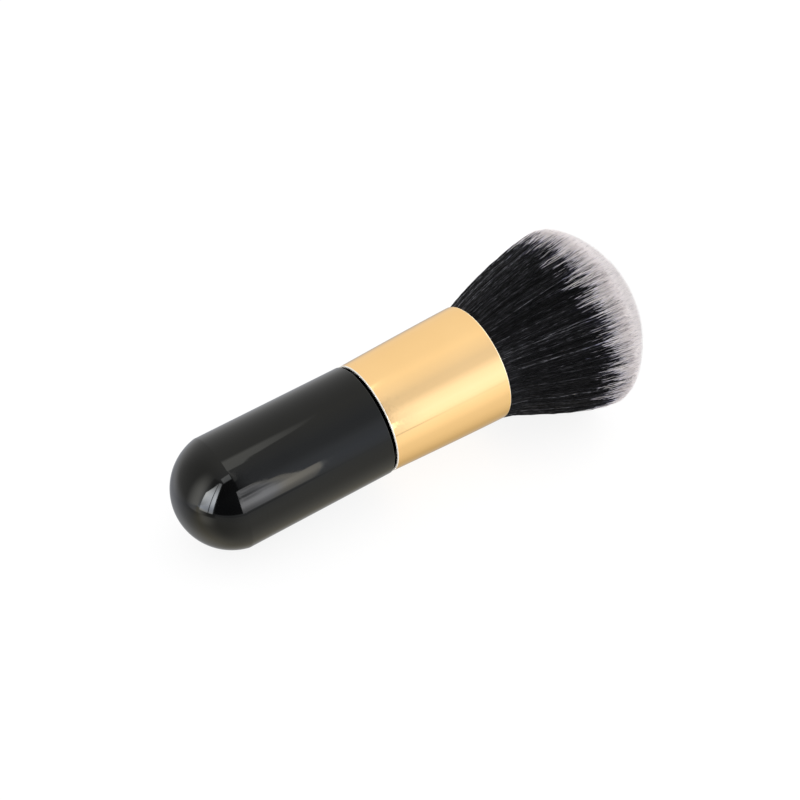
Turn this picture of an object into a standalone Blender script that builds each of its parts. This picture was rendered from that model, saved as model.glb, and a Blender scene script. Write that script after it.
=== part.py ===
"""Powder brush lying on a table: a hollow capsule handle, a gold ferrule and a flared two-tone head.

Every piece is modelled about the brush's own axis, local +Z, with zero at the step where the
barrel meets the neck. One empty then lays the whole brush on the table, head towards world +X.
"""
import math

import bmesh
import bpy
import numpy as np
from mathutils import Matrix

# Handle: one moulding, with a straight barrel, a domed end and a stepped neck, hollow from the neck
HANDLE_RADIUS = 0.0155
BARREL_LENGTH = 0.0436
DOME_HEIGHT = 0.01124
DOME_CREASE_ROUND = 0.0016
END_WALL = 0.0034
BARREL_EDGE_ROUND = 0.0002
NECK_LENGTH = 0.0135
NECK_WALL = 0.0024
NECK_CHAMFER = 0.0007

# Glue groove round the neck, from the step
GROOVE_START = 0.0040
GROOVE_WIDTH = 0.0050
GROOVE_DEPTH = 0.0009

# Ferrule: a thin tube that slips over the neck, stops short of the step and opens out a little to its mouth
JOINT_GAP = 0.0010
FERRULE_LENGTH = 0.0356
FERRULE_WALL = 0.0006
FERRULE_SETBACK = 0.00015
FERRULE_FLARE = 0.00130
FERRULE_EASE_POWER = 1.25
REAR_LIP = 0.0005
MOUTH_LIP = 0.0006

# Resin plug behind the roots, which creeps up the ferrule's wall at its rear
PLUG_DEPTH = 0.0050
PLUG_HOLLOW = 0.0012

# Roots, and the thread that ties the bundle in front of them
ROOT_SLICE = 0.0025
ROOT_EMBED = 0.0010
THREAD_DIAMETER = 0.0008
THREAD_TURN_GAP = 0.00045
THREAD_TURNS = 3

# Bristle head, measured from the ferrule's mouth
HEAD_RADIUS = 0.02626
SHOULDER_HEIGHT = 0.03286
CROWN_HEIGHT = 0.01444
FLARE_POWER = 1.4
CROWN_POWER = 0.735
HEAD_LEAN = 0.0016
LEAN_TURN = math.radians(-47.0)
HEAD_PRESS = 0.0004

# Locks of bristle: how many, where they bend and where the dye ends, and how thick each is beside its room
LOCK_COUNT = 360
BEND_SHARE = 0.42
DYE_END_SHARE = 0.82
ROOT_FILL_SHARE = 0.80
BEND_FILL_SHARE = 0.88
DYE_END_FILL_SHARE = 0.94
TIP_FILL_SHARE = 0.80

# Seats between pieces
FIT_GAP = 0.0003

# Facets
ROUND_SIDES = 48
DOME_STEPS = 8
CREASE_STEPS = 3
BORE_END_STEPS = 5
EDGE_STEPS = 3
FERRULE_RINGS = 8
PLUG_RINGS = 2
HOLLOW_STEPS = 4
THREAD_STEPS = 24
LOCK_SIDES = 3
HALF_FACET = math.pi / ROUND_SIDES
EDGE_ANGLE = math.radians(30.0)
WELD_DISTANCE = 0.000001
GOLDEN_ANGLE = math.pi * (3.0 - math.sqrt(5.0))

# Places along the axis that follow from those sizes
FERRULE_REAR = JOINT_GAP
MOUTH = FERRULE_REAR + FERRULE_LENGTH
PLUG_REAR = NECK_LENGTH + FIT_GAP
SLICE_REAR = PLUG_REAR + PLUG_DEPTH + FIT_GAP
SLICE_FRONT = SLICE_REAR + ROOT_SLICE
THREAD_PITCH = THREAD_DIAMETER + THREAD_TURN_GAP
THREAD_START = SLICE_FRONT + FIT_GAP + THREAD_DIAMETER / 2
THREAD_END = THREAD_START + THREAD_TURNS * THREAD_PITCH

# Slots of the two-tone bristle
BLACK_SLOT = 0
WHITE_SLOT = 1


def clear_scene():
    for obj in list(bpy.data.objects):
        bpy.data.objects.remove(obj, do_unlink=True)
    for collection in list(bpy.data.collections):
        bpy.data.collections.remove(collection)


def new_collection(name):
    collection = bpy.data.collections.new(name)
    bpy.context.scene.collection.children.link(collection)
    return collection


def material(name, colour, roughness, metallic=0.0, coat=0.0):
    made = bpy.data.materials.new(name)
    made.use_nodes = True
    shader = made.node_tree.nodes["Principled BSDF"]
    shader.inputs["Base Color"].default_value = (*colour, 1.0)
    shader.inputs["Roughness"].default_value = roughness
    shader.inputs["Metallic"].default_value = metallic
    shader.inputs["Coat Weight"].default_value = coat
    made.diffuse_color = (*colour, 1.0)
    return made


def evaluated_mesh(obj):
    """The object's mesh with its modifiers, or its curve's tube, as new data."""
    graph = bpy.context.evaluated_depsgraph_get()
    return bpy.data.meshes.new_from_object(obj.evaluated_get(graph))


def smooth(mesh):
    mesh.shade_smooth()
    mesh.set_sharp_from_angle(angle=EDGE_ANGLE)


def turned(name, outline, closed, finish, parts, parent):
    """A solid turned from (radius, height) points that run down the outer side, with a flat facet down."""
    count = len(outline)
    points = [(radius, 0.0, height) for radius, height in outline]
    edges = [(i, i + 1) for i in range(count - 1)]
    if closed:
        edges.append((count - 1, 0))
    profile = bpy.data.meshes.new(name)
    profile.from_pydata(points, edges, [])
    obj = bpy.data.objects.new(name, profile)
    parts.objects.link(obj)
    screw = obj.modifiers.new("turn", "SCREW")
    screw.axis = "Z"
    screw.angle = math.tau
    screw.steps = ROUND_SIDES
    screw.render_steps = ROUND_SIDES
    screw.use_merge_vertices = True
    screw.merge_threshold = WELD_DISTANCE
    solid = evaluated_mesh(obj)
    obj.modifiers.clear()
    obj.data = solid
    obj.data.name = name
    bpy.data.meshes.remove(profile)
    smooth(obj.data)
    obj.data.materials.clear()
    obj.data.materials.append(finish)
    obj.rotation_euler.z = HALF_FACET
    obj.parent = parent
    return obj


def arc(centre, radius, start, end, steps, rise=None):
    """Points of an arc in the (radius, height) plane, both ends included: round unless its rise is given."""
    rise = rise or radius
    angles = [start + (end - start) * i / steps for i in range(steps + 1)]
    return [(centre[0] + radius * math.cos(a), centre[1] + rise * math.sin(a)) for a in angles]


def cap(base_radius, base_height, depth, steps):
    """A ball's cap that closes a bore below base_height, from its rim to the axis."""
    ball = (base_radius ** 2 + depth ** 2) / (2 * depth)
    centre = base_height - depth + ball
    rim = math.atan2(base_height - centre, base_radius)
    points = arc((0.0, centre), ball, rim, -math.pi / 2, steps)
    points[-1] = (0.0, base_height - depth)
    return points


def dome():
    """The ball's cap that ends the barrel, with its crease eased by a short arc."""
    ball = (HANDLE_RADIUS ** 2 + DOME_HEIGHT ** 2) / (2 * DOME_HEIGHT)
    centre = -BARREL_LENGTH - DOME_HEIGHT + ball
    inset = HANDLE_RADIUS - DOME_CREASE_ROUND
    reach = math.sqrt((ball - DOME_CREASE_ROUND) ** 2 - inset ** 2)
    turn = -math.atan2(reach, inset)
    points = arc((inset, centre - reach), DOME_CREASE_ROUND, 0.0, turn, CREASE_STEPS)
    points += arc((0.0, centre), ball, turn, -math.pi / 2, DOME_STEPS)[1:-1]
    points.append((0.0, -BARREL_LENGTH - DOME_HEIGHT))
    return points


def ferrule_radius(height):
    """The ferrule's outer radius: a taper that eases off towards the mouth."""
    along = (height - FERRULE_REAR) / FERRULE_LENGTH
    along = min(max(along, 0.0), 1.0)
    opened = 1.0 - (1.0 - along) ** FERRULE_EASE_POWER
    return HANDLE_RADIUS - FERRULE_SETBACK + FERRULE_FLARE * opened


def seat_radius(height):
    """The largest radius that seats inside the ferrule at a height."""
    return ferrule_radius(height) - FERRULE_WALL - FIT_GAP


def neck_radius():
    return seat_radius(FERRULE_REAR)


def make_handle(finish, parts, parent):
    neck = neck_radius()
    bore = neck - NECK_WALL
    groove = neck - GROOVE_DEPTH
    groove_end = GROOVE_START + GROOVE_WIDTH
    inside = cap(bore, -BARREL_LENGTH, DOME_HEIGHT - END_WALL, BORE_END_STEPS)
    inside.reverse()
    edge_centre = (HANDLE_RADIUS - BARREL_EDGE_ROUND, -BARREL_EDGE_ROUND)
    outline = inside
    outline += [(bore, NECK_LENGTH)]
    outline += [(neck - NECK_CHAMFER, NECK_LENGTH), (neck, NECK_LENGTH - NECK_CHAMFER)]
    outline += [(neck, groove_end), (groove, groove_end), (groove, GROOVE_START), (neck, GROOVE_START)]
    outline += [(neck, 0.0)]
    outline += arc(edge_centre, BARREL_EDGE_ROUND, math.pi / 2, 0.0, EDGE_STEPS)
    outline += dome()
    return turned("handle", outline, False, finish, parts, parent)


def make_neck_glue(finish, parts, parent):
    """The ring of glue that fills the neck's groove and grips the ferrule."""
    inner = neck_radius() - GROOVE_DEPTH + FIT_GAP
    rear = GROOVE_START + FIT_GAP
    front = GROOVE_START + GROOVE_WIDTH - FIT_GAP
    outline = [(seat_radius(front), front), (seat_radius(rear), rear), (inner, rear), (inner, front)]
    return turned("neck_glue", outline, True, finish, parts, parent)


def make_ferrule(finish, parts, parent):
    """The tube, with both of its edges rolled round, the mouth's in a longer curve."""
    half_wall = FERRULE_WALL / 2
    front = MOUTH - MOUTH_LIP
    rear = FERRULE_REAR + REAR_LIP
    heights = [front + (rear - front) * i / FERRULE_RINGS for i in range(FERRULE_RINGS + 1)]
    outer = [(ferrule_radius(height), height) for height in heights]
    inner = [(ferrule_radius(height) - FERRULE_WALL, height) for height in reversed(heights)]
    rear_centre = (outer[-1][0] - half_wall, outer[-1][1])
    mouth_centre = (outer[0][0] - half_wall, outer[0][1])
    rear_edge = arc(rear_centre, half_wall, 0.0, -math.pi, EDGE_STEPS + 1, REAR_LIP)
    mouth_edge = arc(mouth_centre, half_wall, math.pi, 0.0, EDGE_STEPS + 1, MOUTH_LIP)
    outline = outer + rear_edge[1:-1] + inner + mouth_edge[1:-1]
    return turned("ferrule", outline, True, finish, parts, parent)


def make_root_plug(finish, parts, parent):
    """The resin disc, dished at its rear where the wet resin climbed the wall."""
    front = PLUG_REAR + PLUG_DEPTH
    heights = [front - PLUG_DEPTH * i / PLUG_RINGS for i in range(PLUG_RINGS + 1)]
    side = [(seat_radius(height), height) for height in heights]
    rim = seat_radius(PLUG_REAR) - FERRULE_WALL
    ball = (rim ** 2 + PLUG_HOLLOW ** 2) / (2 * PLUG_HOLLOW)
    centre = (0.0, PLUG_REAR + PLUG_HOLLOW - ball)
    dish = arc(centre, ball, math.acos(rim / ball), math.pi / 2, HOLLOW_STEPS)
    dish[-1] = (0.0, PLUG_REAR + PLUG_HOLLOW)
    outline = [(0.0, front)] + side + dish
    return turned("root_plug", outline, False, finish, parts, parent)


def mouth_envelope():
    """Radius of the whole bundle where it passes the ferrule's mouth."""
    return seat_radius(MOUTH)


def tied_envelope():
    """Radius that the thread leaves for the bundle, where its last turn lies."""
    return seat_radius(THREAD_START) - THREAD_DIAMETER - FIT_GAP


def root_envelope():
    """Radius of the bundle at its roots, so that its straight sides just pass inside the thread."""
    along = (THREAD_END + THREAD_DIAMETER / 2 - SLICE_FRONT) / (MOUTH - SLICE_FRONT)
    return (tied_envelope() - along * mouth_envelope()) / (1.0 - along)


def flare_envelope(along):
    """Radius of the outermost bristles at a share of their way from the mouth to their tips."""
    opened = 1.0 - (1.0 - along) ** FLARE_POWER
    return mouth_envelope() + (HEAD_RADIUS - mouth_envelope()) * opened


def tip_height(share):
    """How far past the mouth a lock ends, by its share of the way out from the axis."""
    return SHOULDER_HEIGHT + CROWN_HEIGHT * max(1.0 - share ** 2, 0.0) ** CROWN_POWER


def lean(height):
    """How far the head has leant to the side at a height past the mouth."""
    rise = min(max(height / SHOULDER_HEIGHT, 0.0), 1.0)
    moved = HEAD_LEAN * rise * rise * (3.0 - 2.0 * rise)
    return moved * math.cos(LEAN_TURN), moved * math.sin(LEAN_TURN)


def lock_pattern():
    """Evenly packed places in a unit disc, and the least distance between two of them."""
    order = np.arange(LOCK_COUNT)
    share = np.sqrt((order + 0.5) / (LOCK_COUNT - 0.5))
    turn = order * GOLDEN_ANGLE
    places = np.stack([share * np.cos(turn), share * np.sin(turn)], axis=1)
    apart = np.linalg.norm(places[:, None] - places[None, :], axis=2)
    np.fill_diagonal(apart, np.inf)
    return places, float(apart.min())


def lock_levels(share, spacing):
    """A lock's levels from root to tip: height, the bundle's scale there and the lock's thickness."""
    length = tip_height(share)
    levels = [
        (SLICE_FRONT - ROOT_EMBED, root_envelope(), ROOT_FILL_SHARE),
        (MOUTH, mouth_envelope(), ROOT_FILL_SHARE),
        (MOUTH + BEND_SHARE * length, flare_envelope(BEND_SHARE), BEND_FILL_SHARE),
        (MOUTH + DYE_END_SHARE * length, flare_envelope(DYE_END_SHARE), DYE_END_FILL_SHARE),
        (MOUTH + length, flare_envelope(1.0), TIP_FILL_SHARE),
    ]
    made = []
    for height, envelope, fill in levels:
        scale = envelope / (1.0 + fill * spacing / 2)
        made.append((height, scale, fill * spacing / 2 * scale))
    return made


def lock_section(cutters):
    """The unit section that every lock is swept with."""
    curve = bpy.data.curves.new("lock_section", "CURVE")
    curve.dimensions = "2D"
    spline = curve.splines.new("POLY")
    spline.points.add(LOCK_SIDES - 1)
    spline.use_cyclic_u = True
    for i, point in enumerate(spline.points):
        turn = math.tau * i / LOCK_SIDES
        point.co = (math.cos(turn), math.sin(turn), 0.0, 1.0)
    obj = bpy.data.objects.new("lock_section", curve)
    cutters.objects.link(obj)
    as_guide(obj)
    return obj


def as_guide(obj):
    obj.hide_render = True
    obj.display_type = "WIRE"


def make_locks(finishes, cutters, parent):
    """All locks as one mesh of separate bodies, each from inside the root slice to its tip."""
    places, spacing = lock_pattern()
    curve = bpy.data.curves.new("locks", "CURVE")
    curve.dimensions = "3D"
    curve.bevel_mode = "OBJECT"
    curve.bevel_object = lock_section(cutters)
    curve.use_fill_caps = True
    for place in places:
        share = min(float(np.hypot(*place)), 1.0)
        levels = lock_levels(share, spacing)
        spline = curve.splines.new("POLY")
        spline.points.add(len(levels) - 1)
        for point, (height, scale, thickness) in zip(spline.points, levels):
            aside = lean(height - MOUTH)
            point.co = (place[0] * scale + aside[0], place[1] * scale + aside[1], height, 1.0)
            point.radius = thickness
    swept = bpy.data.objects.new("locks_sweep", curve)
    cutters.objects.link(swept)
    mesh = evaluated_mesh(swept)
    locks = bpy.data.objects.new("locks", mesh)
    locks.matrix_world = swept.matrix_world
    cutters.objects.link(locks)
    bpy.data.objects.remove(swept, do_unlink=True)
    mesh.materials.clear()
    for finish in finishes:
        mesh.materials.append(finish)
    shell = bmesh.new()
    shell.from_mesh(mesh)
    bmesh.ops.remove_doubles(shell, verts=shell.verts, dist=WELD_DISTANCE)
    bmesh.ops.recalc_face_normals(shell, faces=shell.faces)
    for face in shell.faces:
        face.material_index = dye_slot(face.calc_center_median())
    shell.to_mesh(mesh)
    shell.free()
    locks.parent = parent
    as_guide(locks)
    return locks


def dye_slot(place):
    """The slot of a face by where its middle lies along its lock, before or past the dye's end."""
    share = min(math.hypot(place.x, place.y) / HEAD_RADIUS, 1.0)
    along = (place.z - MOUTH) / tip_height(share)
    return WHITE_SLOT if along > DYE_END_SHARE else BLACK_SLOT


def make_bristle_head(locks, finishes, parts, parent):
    """The roots' slice, with every lock joined to it."""
    mesh = bpy.data.meshes.new("bristle_head")
    slice_mesh = bmesh.new()
    bmesh.ops.create_cone(
        slice_mesh,
        cap_ends=True,
        segments=ROUND_SIDES,
        radius1=seat_radius(SLICE_REAR),
        radius2=seat_radius(SLICE_FRONT),
        depth=ROOT_SLICE,
        matrix=Matrix.Translation((0.0, 0.0, (SLICE_REAR + SLICE_FRONT) / 2)),
    )
    slice_mesh.to_mesh(mesh)
    slice_mesh.free()
    for finish in finishes:
        mesh.materials.append(finish)
    head = bpy.data.objects.new("bristle_head", mesh)
    parts.objects.link(head)
    head.parent = parent
    union = head.modifiers.new("locks", "BOOLEAN")
    union.operation = "UNION"
    union.solver = "EXACT"
    union.object = locks
    return head


def thread_path():
    """The tie's turns round the bundle, rear to front, against the inside of the ferrule's seat."""
    radius = tied_envelope() + FIT_GAP + THREAD_DIAMETER / 2
    count = THREAD_TURNS * THREAD_STEPS
    turns = [math.tau * i / THREAD_STEPS for i in range(count + 1)]
    rise = THREAD_PITCH / math.tau
    return [(radius * math.cos(a), radius * math.sin(a), THREAD_START + rise * a) for a in turns]


def least_self_gap(path):
    """Least clear distance between turns, measured between points over half a turn apart."""
    points = np.array(path)
    apart = np.linalg.norm(points[:, None] - points[None, :], axis=2)
    order = np.arange(len(points))
    far = np.abs(order[:, None] - order[None, :]) > THREAD_STEPS / 2
    return float(apart[far].min()) - THREAD_DIAMETER


def make_binding_thread(finish, parts, parent):
    path = thread_path()
    curve = bpy.data.curves.new("binding_thread", "CURVE")
    curve.dimensions = "3D"
    curve.bevel_depth = THREAD_DIAMETER / 2
    curve.bevel_resolution = 1
    curve.use_fill_caps = True
    spline = curve.splines.new("POLY")
    spline.points.add(len(path) - 1)
    for point, place in zip(spline.points, path):
        point.co = (*place, 1.0)
    curve.materials.append(finish)
    thread = bpy.data.objects.new("binding_thread", curve)
    parts.objects.link(thread)
    thread.parent = parent
    print("binding thread, least gap between turns, mm:", round(least_self_gap(path) * 1000, 3))
    return thread


def table_tilt():
    """How far the axis rises towards the head, from the barrel's rear edge to the head's widest ring."""
    flat = math.cos(HALF_FACET)
    drop = HEAD_RADIUS + HEAD_LEAN * math.cos(LEAN_TURN) - HEAD_PRESS
    run = BARREL_LENGTH + MOUTH + SHOULDER_HEIGHT
    return math.atan2(drop - HANDLE_RADIUS * flat, run)


def world_points(obj):
    graph = bpy.context.evaluated_depsgraph_get()
    mesh = evaluated_mesh(obj)
    matrix = obj.evaluated_get(graph).matrix_world
    return [matrix @ vertex.co for vertex in mesh.vertices]


def press_flat(locks):
    """The lowest tips lie flat along the table."""
    to_world = locks.matrix_world
    to_local = to_world.inverted()
    for vertex in locks.data.vertices:
        place = to_world @ vertex.co
        if place.z < 0.0:
            place.z = 0.0
            vertex.co = to_local @ place


def lay_on_table(axis, handle, locks, parts):
    """The barrel's rear edge and the pressed tips touch the table, and the brush is centred over zero."""
    axis.rotation_euler = (0.0, math.pi / 2 - table_tilt(), 0.0)
    bpy.context.view_layer.update()
    axis.location.z = -min(point.z for point in world_points(handle))
    bpy.context.view_layer.update()
    press_flat(locks)
    places = [point for obj in parts.objects if obj.type != "EMPTY" for point in world_points(obj)]
    axis.location.x = -(min(p.x for p in places) + max(p.x for p in places)) / 2
    axis.location.y = -(min(p.y for p in places) + max(p.y for p in places)) / 2
    bpy.context.view_layer.update()


def main():
    clear_scene()
    parts = new_collection("powder_brush")
    cutters = new_collection("cutters")
    black_gloss = material("black_gloss_plastic", (0.012, 0.012, 0.013), 0.08, coat=1.0)
    gold = material("gold_aluminium", (0.93, 0.67, 0.36), 0.22, metallic=1.0)
    resin = material("clear_resin", (0.62, 0.50, 0.30), 0.35)
    glue = material("dry_glue", (0.80, 0.76, 0.62), 0.55)
    thread = material("cotton_thread", (0.75, 0.72, 0.66), 0.90)
    black_bristle = material("black_bristle", (0.012, 0.012, 0.015), 0.45)
    white_bristle = material("white_bristle_tip", (0.72, 0.66, 0.67), 0.60)
    axis = bpy.data.objects.new("brush_axis", None)
    parts.objects.link(axis)
    handle = make_handle(black_gloss, parts, axis)
    make_neck_glue(glue, parts, axis)
    make_ferrule(gold, parts, axis)
    make_root_plug(resin, parts, axis)
    make_binding_thread(thread, parts, axis)
    locks = make_locks((black_bristle, white_bristle), cutters, axis)
    make_bristle_head(locks, (black_bristle, white_bristle), parts, axis)
    lay_on_table(axis, handle, locks, parts)


main()
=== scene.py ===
import math

import bpy
import numpy as np
from mathutils import Matrix, Vector


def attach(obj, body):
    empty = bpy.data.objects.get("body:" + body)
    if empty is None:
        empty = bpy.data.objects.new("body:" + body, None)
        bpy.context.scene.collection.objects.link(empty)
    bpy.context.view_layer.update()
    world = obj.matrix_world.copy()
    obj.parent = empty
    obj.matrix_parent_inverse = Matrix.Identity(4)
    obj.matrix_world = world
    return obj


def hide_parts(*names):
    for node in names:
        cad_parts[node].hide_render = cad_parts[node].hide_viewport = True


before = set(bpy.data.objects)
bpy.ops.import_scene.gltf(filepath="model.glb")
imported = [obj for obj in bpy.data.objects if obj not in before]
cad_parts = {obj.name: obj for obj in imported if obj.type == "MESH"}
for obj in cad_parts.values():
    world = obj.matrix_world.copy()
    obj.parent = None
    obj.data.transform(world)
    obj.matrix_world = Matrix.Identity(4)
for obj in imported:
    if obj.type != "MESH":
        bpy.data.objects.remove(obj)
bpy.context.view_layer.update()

# Looks of the powder brush: fine turned skins for the handle and the ferrule, and a head of
# some tens of thousands of separate filaments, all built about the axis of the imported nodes.

SEED = 7

# Handle, in metres, measured from the step between barrel and neck. The barrel ends a little past the
# step, and the neck is turned down in the gap before the ferrule, which so reads as a dark ring
HANDLE_RADIUS = 0.0155
BARREL_LENGTH = 0.0422
DOME_HEIGHT = 0.01264
DOME_CREASE_ROUND = 0.0016
END_WALL = 0.0034
BARREL_END = 0.0003
BARREL_EDGE_ROUND = 0.0002
NECK_LENGTH = 0.0135
NECK_WALL = 0.0024
NECK_CHAMFER = 0.0007
RELIEF_RADIUS = 0.0132
RELIEF_END = 0.0022
GROOVE_START = 0.0040
GROOVE_WIDTH = 0.0050
GROOVE_DEPTH = 0.0009

# Ferrule
FERRULE_REAR = 0.0010
SKIN_SETBACK = 0.0003
FERRULE_LENGTH = 0.0356
FERRULE_WALL = 0.0006
FERRULE_SETBACK = 0.00015
FERRULE_FLARE = 0.00130
FERRULE_EASE_POWER = 1.25
MOUTH_LIP = 0.0004
REAR_LIP = 0.0003
LIP_EASE = 0.00006
MOUTH = FERRULE_REAR + FERRULE_LENGTH
FIT_GAP = 0.0003

# Edges of the ferrule painted as highlight lines, the mouth's on paler bare metal: how far each reaches,
# and how soft the skin's end is
REAR_HIGHLIGHT_REACH = 0.00028
MOUTH_HIGHLIGHT_START = 0.00032
MOUTH_HIGHLIGHT_FULL = 0.00020
EDGE_BLUR = 0.00004

# Roots of the head
ROOTS_REAR = 0.0191
ROOTS_FRONT = 0.0216
ROOTS_RADIUS = 0.01495
ROOT_BUNDLE_RADIUS = 0.01365

# Bristle head, measured from the ferrule's mouth
HEAD_RADIUS = 0.02638
SHOULDER_HEIGHT = 0.03316
CROWN_HEIGHT = 0.01480
FLARE_POWER = 1.36
CROWN_POWER = 0.735
HEAD_LEAN = 0.0014
LEAN_TURN = math.radians(-47.0)

# Filaments: they leave the roots in pairs, and weave among their neighbours
TUFT_COUNT = 24000
TUFT_FILAMENTS = 2
TUFT_SHAKE = 0.45
TUFT_REACH = 1.05
TUFT_PINCH = 0.2
FILAMENT_SHAKE = 0.3
OUTWARD_WEAVE = 0.00012
ROUND_WEAVE = 0.00009
WEAVE_GROWTH = 0.3
WEAVE_SLOWEST = 14.0
WEAVE_FASTEST = 44.0
OUTWARD_SWAY = 0.00008
ROUND_SWAY = 0.0009
FILAMENT_RADIUS = 0.000070
FILAMENT_ROOT_SHARE = 0.8
FILAMENT_TIP_SHARE = 0.5
TAPER_START = 0.86
TUFT_LENGTH_SPREAD = 0.00010
FILAMENT_LENGTH_SPREAD = 0.00020
SKIN_SHARE = 0.92
SKIN_STEP = 0.066
SKIN_STEPS = 15
SKIN_TIP = (0.97, 1.0)
SKIN_LEVELS = tuple(np.append(np.arange(SKIN_STEPS) * SKIN_STEP, SKIN_TIP).tolist())
CORE_LEVELS = (0.5, 0.88, 1.0)
SECTORS = 8
GOLDEN_ANGLE = math.pi * (3.0 - math.sqrt(5.0))

# Loose filaments that lie over the rest, painted pale as a highlight, the palest on the side with most
# light
LOOSE_COUNT = 22
OUTERMOST_SHARE = 0.985
LOOSE_LIFT = 0.00010
LOOSE_LEAST_LIFT = 0.4
LOOSE_WEAVE = 0.0005
LOOSE_LEAST_WEAVE = 0.2
LOOSE_SLOWEST = 3.0
LOOSE_FASTEST = 9.0
LOOSE_SIDE = 0.3
LOOSE_SHEEN_SHADE = 0.999
LOOSE_SHADE = 0.93

# Dye: black up to a ragged line, then white. The line has a few waves round the head, and bumps at
# degrees from the side that faces the picture. Some filaments turn white well before it, or well past it
DYE_END = 0.826
DYE_FACING = math.radians(-136.7)
DYE_WAVES = ((4, 0.008), (7, 0.010), (13, 0.010), (21, 0.006))
DYE_BUMPS = (
    (-84.0, 8.0, 0.045), (-50.0, 20.0, 0.020), (-3.0, 5.0, -0.040), (11.0, 6.0, 0.033), (20.0, 5.0, 0.024),
    (80.0, 8.0, 0.035),
)
TUFT_DYE_SPREAD = 0.036
FILAMENT_DYE_SPREAD = 0.030
STRAY_SHARE = 0.20
STRAY_EARLY = 0.17
STRAY_LATE = 0.13
# Painted sheen: how much paler the filaments on the upper side, away from the camera, are made, in place of
# the sheen that light gives them there
PAINTED_SIDE_SHEEN = 0.31
SHADE_TOP = 0.975
SHADE_TOP_POWER = 0.1
SHADE_SPREAD = 0.08
DYE_LEVELS = 16
SHADE_LEVELS = 16
DYE_FIRST = 0.64
DYE_LAST = 1.04
DYE_SOFTNESS = 0.015

# The filaments' map: where the mouth lies up it, and a filament's three sides across its column
MAP_MOUTH = 0.08
MAP_SIDES = (0.15, 0.5, 0.85)

# Facets
ROUND_SIDES = 192
DOME_STEPS = 40
EDGE_STEPS = 8
FERRULE_RINGS = 36
SHARP_ANGLE = math.radians(40.0)

# Rings that keep the shading flat up to a round, as shares of its radius
EDGE_EASE_SHARE = 0.5
CREASE_EASE_SHARE = 0.25

# Camera: a point in the middle of the picture, and how the camera looks at it
VIEW_CENTRE = (-0.003879, -0.000735, 0.02372)
VIEW_DISTANCE = 0.4335
VIEW_AZIMUTH = math.radians(-33.31)
VIEW_ELEVATION = math.radians(39.885)
LENS = 74.25
SENSOR_WIDTH = 36.0
CLIP_START = 0.01

# Softboxes: their angle and distance about the brush's axis, and how far they reach along it and across
STRIP_TURN = -80.0
STRIP_ALONG = (-0.15, 0.1338)
STRIP_ACROSS = (-0.156, 0.262)
ROOF_TURN = 0.0
ROOF_ALONG = (0.04, 0.150)
ROOF_ACROSS = (-0.36, 0.115)
SOFTBOX_DISTANCE = 0.5


def brush_axes():
    """The brush's own axes as rows, and where its zero lies, from the middles of the turned nodes."""
    handle = node_points("handle")
    ferrule = node_points("ferrule")
    start = handle.mean(axis=0)
    along = ferrule.mean(axis=0) - start
    along /= np.linalg.norm(along)
    side = np.array([0.0, 1.0, 0.0])
    down = np.cross(side, along)
    rear = ((ferrule - start) @ along).min() - FERRULE_REAR
    return np.stack([down, side, along]), start + rear * along


def node_points(name):
    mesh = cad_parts[name].data
    points = np.empty(len(mesh.vertices) * 3)
    mesh.vertices.foreach_get("co", points)
    return points.reshape(-1, 3)


AXES, ZERO = brush_axes()


def placed(points):
    """Points given about the brush's axis, in the frame's own axes."""
    return ZERO + np.asarray(points) @ AXES


def seated(piece, slot, *nodes):
    """Every piece rides on the one body and stands for its node, which is hidden. Its slot is not used."""
    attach(piece, "root")
    if nodes:
        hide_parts(*nodes)
    return piece


# Turned pieces

def arc(centre, radius, start, end, steps, rise=None):
    """Points of an arc in the (radius, height) plane. Its rise is its radius unless given."""
    rise = rise or radius
    turns = np.linspace(start, end, steps + 1)
    return [(centre[0] + radius * math.cos(a), centre[1] + rise * math.sin(a)) for a in turns]


def turned(name, outline, finish):
    """A solid turned about the brush's axis from (radius, height) points down its outer side."""
    turns = np.arange(ROUND_SIDES) * math.tau / ROUND_SIDES
    ring = np.stack([np.cos(turns), np.sin(turns)], axis=1)
    points, rings = [], []
    for radius, height in outline:
        if radius > 0.0:
            rings.append(len(points) + np.arange(ROUND_SIDES))
            points.extend((radius * x, radius * y, height) for x, y in ring)
        else:
            rings.append(np.full(ROUND_SIDES, len(points)))
            points.append((0.0, 0.0, height))
    pairs = list(zip(rings, rings[1:]))
    if outline[0][0] > 0.0:
        pairs.append((rings[-1], rings[0]))
    faces = []
    for upper, lower in pairs:
        for i in range(ROUND_SIDES):
            j = (i + 1) % ROUND_SIDES
            corners = [upper[i], lower[i], lower[j], upper[j]]
            faces.append([int(c) for n, c in enumerate(corners) if c != corners[n - 1]])
    mesh = bpy.data.meshes.new(name)
    mesh.from_pydata(placed(points).tolist(), [], faces)
    mesh.shade_smooth()
    mesh.set_sharp_from_angle(angle=SHARP_ANGLE)
    mesh.materials.append(finish)
    piece = bpy.data.objects.new(name, mesh)
    bpy.context.scene.collection.objects.link(piece)
    return piece


def ferrule_radius(height):
    along = np.clip((height - FERRULE_REAR) / FERRULE_LENGTH, 0.0, 1.0)
    opened = 1.0 - (1.0 - along) ** FERRULE_EASE_POWER
    return HANDLE_RADIUS - FERRULE_SETBACK + FERRULE_FLARE * opened


def dome(base_radius, depth, steps):
    """The ball's cap that ends the barrel, with its crease eased by a short arc."""
    ball = (base_radius ** 2 + depth ** 2) / (2.0 * depth)
    centre = -BARREL_LENGTH - depth + ball
    inset = base_radius - DOME_CREASE_ROUND
    reach = math.sqrt((ball - DOME_CREASE_ROUND) ** 2 - inset ** 2)
    ease = (inset, centre - reach)
    turn = -math.atan2(reach, inset)
    points = [(base_radius, ease[1] + DOME_CREASE_ROUND * CREASE_EASE_SHARE)]
    points += arc(ease, DOME_CREASE_ROUND, 0.0, turn, EDGE_STEPS)
    points += arc((0.0, centre), ball, turn, -math.pi / 2, steps)[1:-1]
    points.append((0.0, -BARREL_LENGTH - depth))
    return points


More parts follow.
